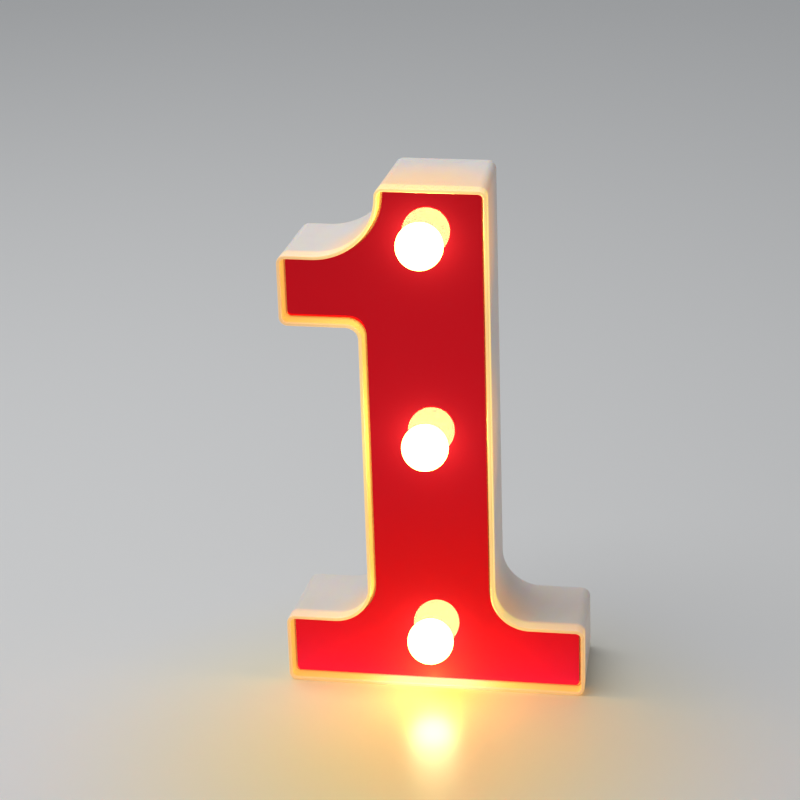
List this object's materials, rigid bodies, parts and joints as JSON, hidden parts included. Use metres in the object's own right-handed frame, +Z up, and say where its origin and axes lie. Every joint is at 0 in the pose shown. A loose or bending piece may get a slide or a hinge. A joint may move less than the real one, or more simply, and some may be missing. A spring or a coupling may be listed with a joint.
{
  "type": "marquee number night light",
  "caption": "Battery night light in the shape of the figure one: a deep white tray with a red mirror face, frosted ball lamps, a slide switch and a battery door in the back.",
  "frame": {"origin": "on the table under the middle of the shaft, halfway through the depth of the tray", "axes": "+Z up the figure, -Y out of the face towards the viewer, +X to the viewer's right"},
  "size_m": [0.124, 0.0558, 0.22],
  "materials": {
    "tray_white": "translucent white moulded plastic, satin",
    "plate_white": "white sheet, satin",
    "film_clear": "clear double-sided film",
    "mirror_red": "red tinted mirror acrylic",
    "ball_frost": "frosted, lit from inside",
    "collar_white": "white moulded plastic",
    "board_green": "green solder mask",
    "led_yellow": "clear yellow epoxy",
    "screw_zinc": "zinc plated steel",
    "contact_steel": "nickel plated steel",
    "cell_jacket": "printed film jacket, no print",
    "door_white": "white moulded plastic, satin",
    "switch_steel": "tinned steel shell",
    "knob_black": "black moulded plastic",
    "resistor_tan": "lacquered body",
    "wire_red": "red insulation",
    "wire_black": "black insulation"
  },
  "bodies": {
    "light": {"housing": "tray_white", "front_plate": "plate_white", "panel_adhesive": "film_clear", "face_panel": "mirror_red", "plate_screws": "screw_zinc", "battery_left": "cell_jacket", "battery_right": "cell_jacket", "spring_left": "contact_steel", "spring_right": "contact_steel", "contact_bridge": "contact_steel", "contact_positive": "contact_steel", "contact_negative": "contact_steel", "switch_body": "switch_steel", "switch_screws": "screw_zinc", "resistor": "resistor_tan", "wire_red_upper": "wire_red", "wire_red_lower": "wire_red", "wire_red_feed": "wire_red", "wire_resistor": "wire_red", "wire_black_upper": "wire_black", "wire_black_lower": "wire_black", "wire_black_feed": "wire_black", "bulb_top": "ball_frost", "holder_top": "collar_white", "led_board_top": "board_green", "led_top": "led_yellow", "bulb_middle": "ball_frost", "holder_middle": "collar_white", "led_board_middle": "board_green", "led_middle": "led_yellow", "bulb_bottom": "ball_frost", "holder_bottom": "collar_white", "led_board_bottom": "board_green", "led_bottom": "led_yellow"},
    "door": {"battery_door": "door_white"},
    "knob": {"switch_knob": "knob_black"}
  },
  "joints": [
    {"name": "door_hinge", "type": "hinge", "parent": "light", "child": "door", "pos_m": [0, 0.0215, 0.0511], "axis": [-1, 0, 0], "range_deg": [0, 65]},
    {"name": "switch_slide", "type": "slide", "parent": "light", "child": "knob", "axis": [-1, 0, 0], "range_m": [0, 0.003]}
  ]
}
